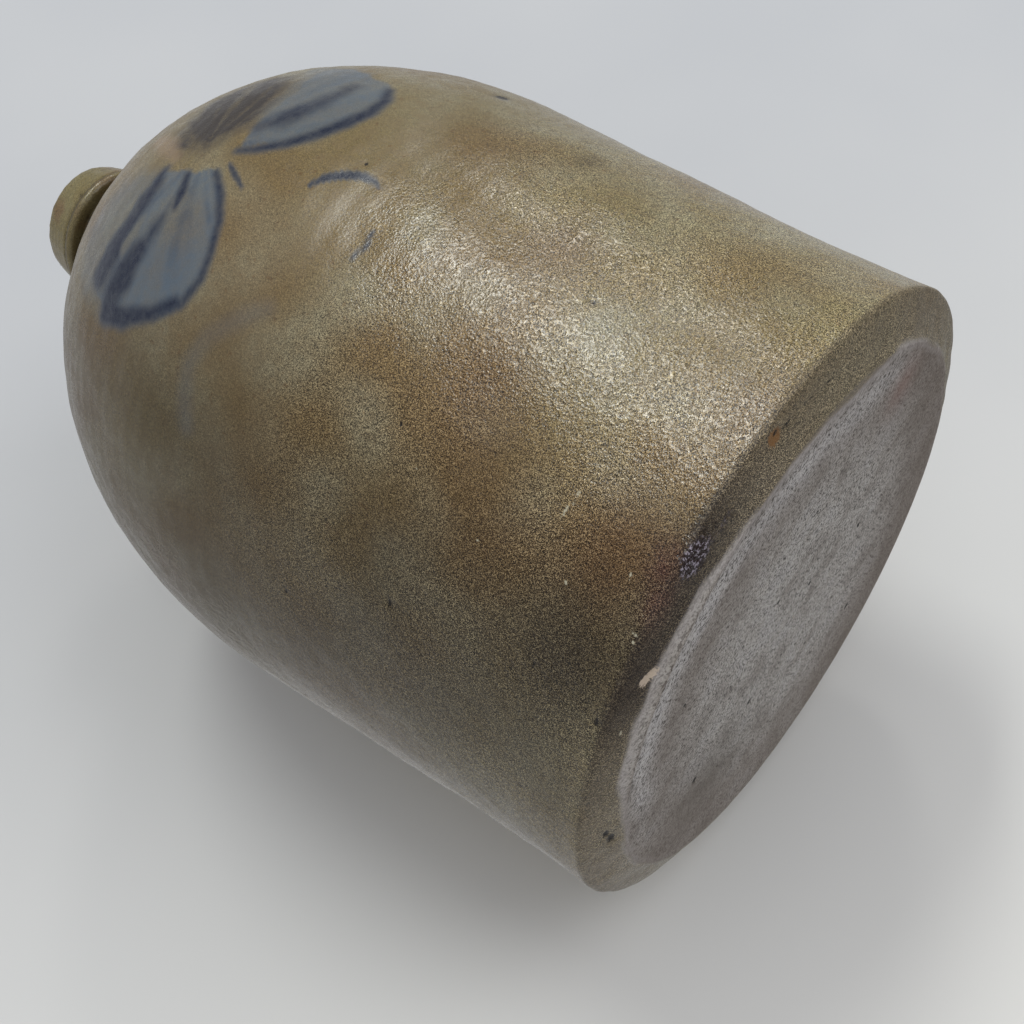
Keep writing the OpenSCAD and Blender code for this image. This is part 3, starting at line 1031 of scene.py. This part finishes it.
def skin_over(name, nodes, voxel, rounds):
    """One smooth skin over several solids."""
    merged = bmesh.new()
    for node in nodes:
        merged.from_mesh(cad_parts[node].data)
    mesh = bpy.data.meshes.new(name)
    bmesh.ops.remove_doubles(merged, verts=merged.verts, dist=SAME_PLACE)
    merged.to_mesh(mesh)
    merged.free()
    piece = in_scene(name, mesh)
    cover = piece.modifiers.new("cover", "REMESH")
    cover.mode = "VOXEL"
    cover.voxel_size = voxel
    ease = piece.modifiers.new("ease", "SMOOTH")
    ease.factor = 0.5
    ease.iterations = rounds
    evaluated = piece.evaluated_get(bpy.context.evaluated_depsgraph_get())
    skin = bpy.data.meshes.new_from_object(evaluated)
    piece.modifiers.clear()
    piece.data = skin
    shade_smooth(skin)
    return piece


handle = skin_over("handle", HANDLE_NODES, VOXEL, SMOOTH_ROUNDS)
print("handle skin has", len(handle.data.vertices), "points")

# %% [markdown]
# ## Pulled and pressed
# A strap is pulled from a lump of wet clay between the fingers, which leaves
# furrows along its back and finer lines between them. They are pressed into the
# skin along its normals, and fade out near the joints, where the potter's thumb
# smoothed the clay over.

# %% Furrows, joints and lumps of the handle
FURROW_AT, FURROW_WIDE, FURROW_DEPTH = 6.1, 2.4, 0.8
SPREAD, SPREAD_REACH = 1.3, 3.0
SINK, SINK_REACH = 2.2, 1.4
LUMP_DEPTH, SKIN_IN = 0.12, 0.12


def vertex_vectors(mesh, what):
    """The places ("co") or normals ("normal") of a mesh's points."""
    flat = np.empty(len(mesh.vertices) * 3, np.float32)
    mesh.vertices.foreach_get(what, flat)
    return flat.reshape(-1, 3).astype(float)


skin, normals = vertex_vectors(handle.data, "co"), vertex_vectors(handle.data, "normal")
x, y, height = skin.T
gap, way_out = pot_distance(skin)
spreading = SPREAD * np.exp(-np.clip(gap, 0, 50) / SPREAD_REACH) * np.clip(gap / 0.9, 0, 1)
sinking = SINK * np.clip(SINK_REACH - gap, 0, SINK_REACH) / SINK_REACH
lumps = np.sin(height / 0.0065 + 1.7 * np.sin(x / 0.009)) * np.sin(y / 0.0083 + 2)
over_strap = x / MM
on_back = np.clip(normals[:, 1] + 0.8 * normals[:, 2], 0, 1) * np.clip((gap - 3) / 8, 0, 1)
furrows = sum(np.exp(-((over_strap - place) / FURROW_WIDE) ** 2) for place in (-FURROW_AT, FURROW_AT))
pulled = 0.07 * (1 + np.sin(over_strap * 2.3 + 0.9 * np.sin(height / 0.019)))
pulled += 0.05 * (1 + np.sin(over_strap * 4.1 + 1))
pressed = (furrows * FURROW_DEPTH + pulled) * on_back + SKIN_IN
skin += normals * ((spreading + LUMP_DEPTH * lumps - pressed) * MM)[:, None]
skin -= way_out * (sinking * MM)[:, None]
set_points(handle, skin.astype(np.float32))
# Painted shade where the handle meets the pot, and in the furrows along its back.
carry(handle, "join_shade", np.exp(-np.clip(gap, 0, 60) / 4))
carry(handle, "furrow", furrows * on_back)
print("deepest press of the handle", round(float(pressed.max()), 2), "mm")

# %% [markdown]
# ## Salt glaze
# Salt thrown into the fire settles as a thin glassy skin with the texture of
# orange peel. Its tone drifts over the pot from grey to olive to iron brown. The
# crests of the peel are lighter, the dimples hold dark specks. Noise textures
# give all of it at any distance, and the pot, neck and handle share them, so
# that they look fired together.

# %% Glaze parts shared by the finishes
GREY = rgb(134, 131, 111)
OLIVE = rgb(113, 102, 70)
BROWN = rgb(103, 83, 51)
TOAST = rgb(86, 58, 28)
SALT = rgb(164, 156, 128)
DARKEST = 0.18


def peel(f):
    """Orange peel: the crests between dimples, fine grain, and the height of both."""
    crest = f.cells(0.78).between(0.20, 0.70)
    grain = f.noise(0.26, 1.0, 0.5, shift=7)
    swell = f.noise(1.7, 1.0, 0.5, shift=27)
    return crest, grain, crest * 0.030 + grain * 0.014 + swell * 0.11


def grained(f, colour, crest, grain, depth):
    """Lighter on the crests and darker in the dimples."""
    light = (0.4 + crest * 0.6) * grain.between(0.49, 0.62) * depth
    shadow = (1 - crest * 0.5) * grain.between(0.52, 0.39) * depth
    colour = f.mix((light * 0.09).clamped(), colour, SALT)
    return f.shaded(colour, (0.98 + light * 0.85 - shadow * 0.82).math("MAXIMUM", DARKEST))


def ground(f, tone, cloud, grey_share):
    """The glaze's own colour, drifting from brown through olive to grey, and its mottling."""
    mottle = f.noise(4.0, 2.0, 0.6, shift=2).between(0.3, 0.7)
    iron = f.noise(2.2, 1.0, 0.6, shift=19).between(0.66, 0.76)
    colour = f.mix(tone, BROWN, OLIVE)
    colour = f.layered(colour, ((cloud * grey_share).clamped(), GREY),
                       (mottle * 0.35, BROWN), (iron * 0.4, TOAST))
    return colour, mottle


print("glaze helpers ready")

# %% [markdown]
# ## The pot's glaze
# The glaze comes first, with what the fire did to it and with painted shade over
# its left side, where part of the dark coat is painted shade as well; each flush
# is a coat of colour whose share is a mask from the mesh. The bevel was wiped, so
# it is drier and follows its own two browns.

# %% Fired glaze of the wall
# The dark colour is the glaze's dark brown and also painted shade on the left; the shaded-side colour
# is painted shade.
DARK = rgb(38, 26, 13)
SHADED_SIDE = rgb(42, 31, 16)
RUST = rgb(68, 38, 28)
BEVEL_PALE, BEVEL_BROWN, BEVEL_DARK = rgb(106, 97, 82), rgb(84, 69, 48), rgb(40, 24, 13)


def fired_glaze(f, cloud, dark, bevel):
    """Colour of the wall before grain and brushwork, and its mottling."""
    colour, mottle = ground(f, f.painted("tone"), cloud, 0.5)
    bevel_share = f.painted("reach").between(0.95, 1.07) * 0.4 + cloud * 0.4
    colour = f.layered(
        colour,
        (f.painted("toast") * 0.9, TOAST),
        # dark glaze, partly painted shade on the left side
        (dark * 0.92, DARK),
        (bevel * 0.7, f.mix(bevel_share, BEVEL_PALE, BEVEL_BROWN)),
        ((dark * bevel).clamped(), BEVEL_DARK),
        # painted shade over the left side
        (f.painted("shade") * 0.52, SHADED_SIDE),
        ((f.painted("rust") * 0.85).clamped(), RUST))
    return colour, mottle


print("fired glaze ready")

# %% [markdown]
# ## Cobalt
# Cobalt soaks into the glaze, so it isn't a layer of its own: the wash and the
# load only tint the colour, broken by the bristles' noise and the glaze's grain,
# and the peel runs on through them.

# %% Brushwork
COBALT_WASH, COBALT_DEEP = rgb(80, 92, 104), rgb(14, 24, 47)
# The second colour is a painted pinkish highlight.
HATCHED, PAINTED_PINK_HIGHLIGHT = rgb(46, 39, 35), rgb(150, 124, 104)


def brushwork(f, colour, bristles, grain):
    """Blue wash, loaded strokes, the flower's brown middle and a painted highlight streak in it."""
    washed = f.painted("cobalt") * (0.70 + bristles * 0.5) * (0.85 + grain * 0.4)
    loaded = f.painted("load") * (0.60 + bristles * 0.75) * (0.7 + grain * 0.5)
    hatched = f.painted("centre") * (0.6 + bristles * 0.8)
    return f.layered(
        colour,
        (washed.clamped(), COBALT_WASH),
        (loaded.clamped(), COBALT_DEEP),
        (hatched.clamped(), HATCHED),
        # painted highlight
        (f.painted("painted_highlight") * 0.35, PAINTED_PINK_HIGHLIGHT))


print("brushwork ready")

# %% [markdown]
# ## Bare clay
# The underside is unglazed stoneware, grey and rough, browner towards the edge
# and stained where it stood. Its outermost strip, which faces away from the
# lamps, is lightened grey as painted light. The wire drew its pores out along
# its way, which is noise on coordinates turned to that way and squeezed along it.

# %% Bare clay of the underside
CLAY, CLAY_PALE = rgb(162, 157, 151), rgb(184, 181, 177)
STAIN_BROWN, STAIN_GREY = rgb(104, 95, 86), rgb(168, 165, 164)
PORE, DUSTED, LOW_STAIN = rgb(50, 44, 40), rgb(182, 178, 180), rgb(88, 80, 70)
# The rim colour is painted light for the underside's outermost strip.
EDGE_BROWN, RIM_PAINTED_LIGHT, FLUSH = rgb(98, 84, 72), rgb(150, 143, 136), rgb(122, 88, 76)
WIRE_DRAW = (0.5, 1, 1)


def bare_clay(f, grain):
    """Colour of the unglazed clay, and its height in millimetres."""
    turned = f.add("ShaderNodeVectorRotate", {"rotation_type": "Z_AXIS"},
                   {"Vector": f.place, "Angle": -WIRE_WAY})
    wire = f.noise(0.7, 2.0, 0.6, shift=51, place=f.vector("MULTIPLY", turned, WIRE_DRAW))
    stain = f.noise(15, 3.0, 0.65, shift=53)
    speck = f.noise(0.62, 2.0, 0.7, shift=57)
    holes = f.cells(1.7).between(0.34, 0.16) * speck.between(0.56, 0.44)
    pores = (wire.between(0.45, 0.40) * 0.9 + holes).clamped()
    pale, radius = f.painted("pale"), f.painted("reach")
    # Painted light: the outermost strip faces away from the lamps, so it is lightened and kept free
    # of the edge's brown.
    painted_rim_light = radius.between(0.925, 0.945)
    near_edge = radius.between(0.40, 0.95) * (1 - pale) * (1 - painted_rim_light)
    clay = f.mix(f.painted("streaks").between(-0.9, 0.9) * 0.2, CLAY, CLAY_PALE)
    clay = f.layered(clay, (stain.between(0.46, 0.66) * 0.45, STAIN_BROWN),
                     (stain.between(0.48, 0.34) * 0.4, STAIN_GREY))
    clay = f.shaded(clay, 0.52 + speck.between(0.38, 0.58) * 0.62 + grain * 0.2)
    clay = f.layered(
        clay,
        (pores, PORE),
        (pale * wire.between(0.40, 0.58) * 0.45, DUSTED),
        (f.painted("shade") * 0.55, LOW_STAIN),
        (near_edge * 0.75, EDGE_BROWN),
        # painted light on the outermost strip
        (painted_rim_light * 0.45, RIM_PAINTED_LIGHT),
        (f.painted("toast") * 0.5, FLUSH))
    return clay, (wire + speck - pores * 0.8) * 0.12


print("bare clay ready")

# %% [markdown]
# ## The whole pot finish
# Small marks lie over everything, with ragged edges from one more noise. Then
# the parts meet: bare clay is dull, the glaze glossy, the bevel in between and
# the glassy spot the glossiest, with pale flakes in it that also serve as
# painted glints.

# %% Pot finish
SMALL_MARKS = (
    ("gold", 0.8, rgb(118, 80, 36)), ("chip", 0.75, rgb(198, 180, 160)),
    ("pit", 0.95, rgb(18, 13, 10)), ("scratch", 0.8, rgb(178, 172, 150)),
    ("spark", 0.9, rgb(34, 21, 22)))
# The flake colour is for pale salt flecks that also serve as painted glints.
RIDGE_PALE, FLAKE_AND_GLINT = rgb(168, 162, 160), rgb(166, 157, 170)
CLAY_ROUGHNESS = 0.68


def small_marks(f, colour, spark):
    ragged = f.noise(0.8, 2.0, 0.6, shift=81) - 0.5
    # Flakes in the glassy spot: pale flecks that also serve as painted glints.
    flakes_and_glints = f.noise(0.9, 2.0, 0.7, shift=79).between(0.53, 0.60) * spark.between(0.35, 0.65)
    marks = [((f.painted(name) + ragged).between(0.38, 0.62) * share, paint)
             for name, share, paint in SMALL_MARKS]
    return f.layered(colour, *marks, (flakes_and_glints * 0.7, FLAKE_AND_GLINT))


def pot_finish():
    f = Finish("salt_glazed_stoneware")
    cloud, coarse, dark, bevel, spark, under = (
        f.painted(name) for name in ("cloud", "coarse", "dark", "bevel", "spark", "under"))
    crest, grain, height = peel(f)
    bristles = f.noise(2.4, 2.0, 0.6, shift=41)
    glaze, mottle = fired_glaze(f, cloud, dark, bevel)
    glaze = grained(f, glaze, crest, grain, (0.26 + coarse * 0.85) * (1 - dark * 0.1))
    glaze = brushwork(f, glaze, bristles, grain)
    clay, clay_height = bare_clay(f, grain)
    ridge_share = (f.painted("ridge") * (0.2 + bristles * 0.6)).clamped()
    colour = f.layered(glaze, (under, clay), (ridge_share, RIDGE_PALE))
    colour = small_marks(f, colour, spark)
    roughness = 0.16 + mottle * 0.08 + (1 - crest) * 0.07 + (1 - coarse).clamped() * 0.10
    roughness = roughness.math("MAXIMUM", under * CLAY_ROUGHNESS)
    roughness = roughness + bevel * (0.16 + dark * 0.22) * (1 - spark) - spark * 0.12
    height = height * coarse * (1 - under * 0.3) + clay_height * under
    height = height + spark * f.noise(1.6, 1.0, 0.6, shift=77) * 2.2
    return f.close(colour, roughness.clamped(), height)


pot_material = pot_finish()
print("pot finish has", len(pot_material.node_tree.nodes), "nodes")

# %% [markdown]
# ## Finishes of the neck, handle and lining
# The neck is more ochre and its grooves are painted dark; the handle has painted
# shade where it meets the pot and along its furrows. Inside, a brown slip was
# poured in and out again, which left soft runs: noise squeezed upwards gives them.

# %% Neck, handle and slip
OCHRE, COLLAR_FLUSH = rgb(104, 96, 56), rgb(98, 66, 44)
GROOVE_DARK, NECK_PIT, RUBBED = rgb(34, 26, 19), rgb(40, 30, 22), rgb(150, 136, 104)
# Painted shade for the join with the pot and for the furrows.
JOIN_SHADE, FURROW_SHADE = rgb(66, 51, 36), rgb(70, 54, 36)
SLIP, SLIP_PALE, SLIP_RUN = rgb(64, 38, 22), rgb(88, 56, 34), rgb(40, 24, 15)
RUN_DRAW = (1, 1, 0.15)


def drifting(f, tone_size, cloud_size):
    """The two slow noises that a piece without masks takes its ground from."""
    tone = f.noise(tone_size, 1.0, shift=11).between(0.36, 0.64)
    return tone, f.noise(cloud_size, 2.0, shift=4).between(0.34, 0.66)


def neck_finish():
    f = Finish("collar_stoneware")
    colour, mottle = ground(f, *drifting(f, 22, 9), 0.25)
    flush = f.noise(13, 2.0, shift=71).between(0.52, 0.68)
    colour = f.layered(colour, (0.45, OCHRE), (flush * 0.5, COLLAR_FLUSH))
    crest, grain, height = peel(f)
    colour = f.layered(
        grained(f, colour, crest, grain, 0.6),
        (f.painted("groove") * 0.85, GROOVE_DARK),
        (f.painted("pit") * 0.7, NECK_PIT),
        ((f.painted("rub") * 0.35).clamped(), RUBBED))
    return f.close(colour, 0.26 + mottle * 0.1, height * 0.7)


def handle_finish():
    f = Finish("handle_stoneware")
    colour, mottle = ground(f, *drifting(f, 50, 15), 0.45)
    # painted shade at the join and in the furrows
    colour = f.layered(colour, (f.painted("join_shade") * 0.5, JOIN_SHADE),
                       (f.painted("furrow") * 0.4, FURROW_SHADE))
    crest, grain, height = peel(f)
    return f.close(grained(f, colour, crest, grain, 0.9), 0.25 + mottle * 0.1, height)


def slip_finish():
    f = Finish("brown_slip")
    cloud = f.noise(14, 3.0, 0.6).between(0.35, 0.65)
    drawn_down = f.vector("MULTIPLY", f.place, RUN_DRAW)
    runs = f.noise(5, 2.0, 0.5, shift=3, place=drawn_down).between(0.4, 0.6)
    colour = f.layered(f.mix(cloud, SLIP, SLIP_PALE), (runs * 0.4, SLIP_RUN))
    return f.close(colour, 0.18 + cloud * 0.1, f.noise(3, 2.0) * 0.12 + runs * 0.1)


neck_material, handle_material, slip_material = neck_finish(), handle_finish(), slip_finish()
print("finishes:", neck_material.name, handle_material.name, slip_material.name)

# %% [markdown]
# ## Dress the pieces
# Each new piece rides on the jug's one body, stands for the solids that it
# covers and gets the finish made for them. The slip lining's own solid has the
# right shape already, so it only gets its material.

# %% Materials and frame
def dress(piece, material):
    piece.data.materials.clear()
    piece.data.materials.append(material)


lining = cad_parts["slip_lining"]
for piece, material, nodes, slot in (
        (pot, pot_material, ("jug_body",), "salt_glazed_stoneware"),
        (neck, neck_material, ("spout",), "collar_stoneware"),
        (handle, handle_material, HANDLE_NODES, "handle_stoneware")):
    dress(piece, material)
    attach(piece, "root")
    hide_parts(*nodes)
dress(lining, slip_material)
print("dressed:", pot.name, neck.name, handle.name, lining.name)

# %% [markdown]
# ## Where the picture was taken
# The jug lies on a pale table. In the jug's own frame that table is an upright
# plane that touches its back. Only the camera sees it, and only from the jug's
# side, so that the jug can be viewed from anywhere. Its colour is a little darker
# towards the picture's upper left, where more light falls on it.

# %% Table
FLOOR_WAY = Vector((0.2198, -0.9755, 0)).normalized()
FLOOR_GAP = BELLY_RADIUS + 0.3 * MM
FLOOR_REACH = 4.0
FADE_REACH = 330
TABLE_ABOVE, TABLE_BELOW = rgb(178, 180, 184), rgb(210, 209, 206)
TABLE_CLOUD = rgb(214, 213, 210)
UPWARD = Vector((0, 0, 1))


def floor_finish():
    f = Finish("table_top")
    down = CAMERA_UP.cross(CAMERA_BACK) * 0.4 - CAMERA_UP * 0.9
    fade = f.vector("DOT_PRODUCT", f.place, tuple(down), "Value").between(-FADE_REACH, FADE_REACH)
    cloud = f.noise(160, 2.0, shift=3).between(0.3, 0.7)
    tone = f.layered(f.mix(fade, TABLE_ABOVE, TABLE_BELOW), (cloud * 0.1, TABLE_CLOUD))
    diffuse = f.add("ShaderNodeBsdfDiffuse", {}, {"Color": tone})
    clear = f.add("ShaderNodeBsdfTransparent", {}, {})
    seen = f.add("ShaderNodeLightPath", {}, {}, "Is Camera Ray")
    back = f.add("ShaderNodeNewGeometry", {}, {}, "Backfacing")
    shown = f.add("ShaderNodeMixShader", {}, {0: seen * (1 - back), 1: clear, 2: diffuse})
    f.add("ShaderNodeOutputMaterial", {}, {"Surface": shown})
    return f.material


def make_floor():
    side = UPWARD.cross(FLOOR_WAY)
    centre = -FLOOR_WAY * FLOOR_GAP
    corners = [centre + side * (a * FLOOR_REACH) + UPWARD * (b * FLOOR_REACH)
               for a, b in ((-1, -1), (1, -1), (1, 1), (-1, 1))]
    mesh = bpy.data.meshes.new("table_top")
    mesh.from_pydata([tuple(c) for c in corners], [], [(0, 1, 2, 3)])
    floor = in_scene("table_top", mesh)
    if mesh.polygons[0].normal.dot(FLOOR_WAY) < 0:
        mesh.flip_normals()
    dress(floor, floor_finish())
    return floor


floor = make_floor()
print("table stands", round(FLOOR_GAP, 4), "m behind the jug's axis")

# %% [markdown]
# ## Light
# The long highlight down the pot is a window before it and a little above, and a
# weaker one follows it from the side. Big pale lamps stand for the tent's cloth.
# Each lamp faces the jug's middle and is given by its way from there. Ellipses
# are used, because their mirrored edges are soft on a dimpled glaze.

# %% Lamps
JUG_MIDDLE = Vector((0, 0, 0.15))
WHITE, LAMP_ALONG = (1, 1, 1), (0, 0, 1)
LAMPS = (  # name, way, distance, length and width, watts, colour, way of the length
    ("window", (0.360, -0.845, 0.400), 3.2, (1.85, 0.50), 35, (0.98, 1.0, 0.95), (0.50, 0.31, 0.17)),
    ("side_window", (0.77, -0.50, 0.385), 3.2, (0.7, 0.4), 9, (1.0, 0.985, 0.93), (0.02, 0.12, 0.12)),
    ("low_glint", (0.16, 0.37, -0.92), 2.5, (0.3, 0.2), 2.0, WHITE, LAMP_ALONG),
    ("tent_top", FLOOR_WAY, 2.5, (3.0, 3.0), 9, WHITE, LAMP_ALONG),
    ("tent_right", (0.513, -0.698, -0.49), 3.0, (2.2, 2.2), 19, WHITE, LAMP_ALONG))


def area_lamp(name, way, distance, size, watts, colour, along):
    data = bpy.data.lights.new(name, "AREA")
    data.shape = "ELLIPSE"
    data.size, data.size_y = size
    data.energy = watts
    data.color = colour
    lamp = in_scene(name, data)
    back = Vector(way).normalized()
    up = back.cross(Vector(along)).normalized()
    turn = Matrix((up.cross(back), up, back)).transposed().to_4x4()
    lamp.matrix_world = Matrix.Translation(JUG_MIDDLE + back * distance) @ turn
    return lamp


lamps = [area_lamp(*values) for values in LAMPS]
print("lamps:", *(lamp.name for lamp in lamps))

# %% [markdown]
# ## The room
# A pale tent over a pale table lights the rest. What the glaze mirrors is set
# apart from what lights it: mirrored, the table is brighter than the tent's open
# front, and the right side of the picture is dark. Each term is a brightness
# for one way of looking out from the jug.

# %% World
REAR_WAY = (-0.25, 0.66, 0.70)
GLOW_WAY = (0.0, -0.85, 0.53)
RIGHT_WAY = tuple(CAMERA_UP.cross(CAMERA_BACK))
ROOM_COLOUR = (0.95, 0.96, 0.98, 1)


def make_world():
    world = bpy.data.worlds.new("room_light")
    world.use_nodes = True
    f = Finish.on(world.node_tree)
    looking = f.add("ShaderNodeTexCoord", {}, {}, "Generated")
    over, rear, glow, right = (
        f.vector("DOT_PRODUCT", looking, tuple(way), "Value")
        for way in (FLOOR_WAY, REAR_WAY, GLOW_WAY, RIGHT_WAY))
    mirror = f.add("ShaderNodeLightPath", {}, {}, "Is Glossy Ray")
    diffuse = 0.54 + over.between(-0.1, 0.3) * 0.14 + rear.between(0.2, 0.95) * 0.55
    glossy = 0.50 - over.between(-0.35, 0.05) * 0.17 - over.between(0.1, 0.6) * 0.18
    glossy = (glossy + glow.between(0.74, 0.97) * 0.24) * (1 - right.between(0.3, 0.8) * 0.65)
    light = f.add("ShaderNodeBackground", {}, {
        "Color": ROOM_COLOUR, "Strength": diffuse * (1 - mirror) + glossy * mirror})
    f.add("ShaderNodeOutputWorld", {}, {"Surface": light})
    return world


bpy.context.scene.world = make_world()
bpy.context.scene.view_settings.view_transform = "Standard"
print("world set:", bpy.context.scene.world.name)
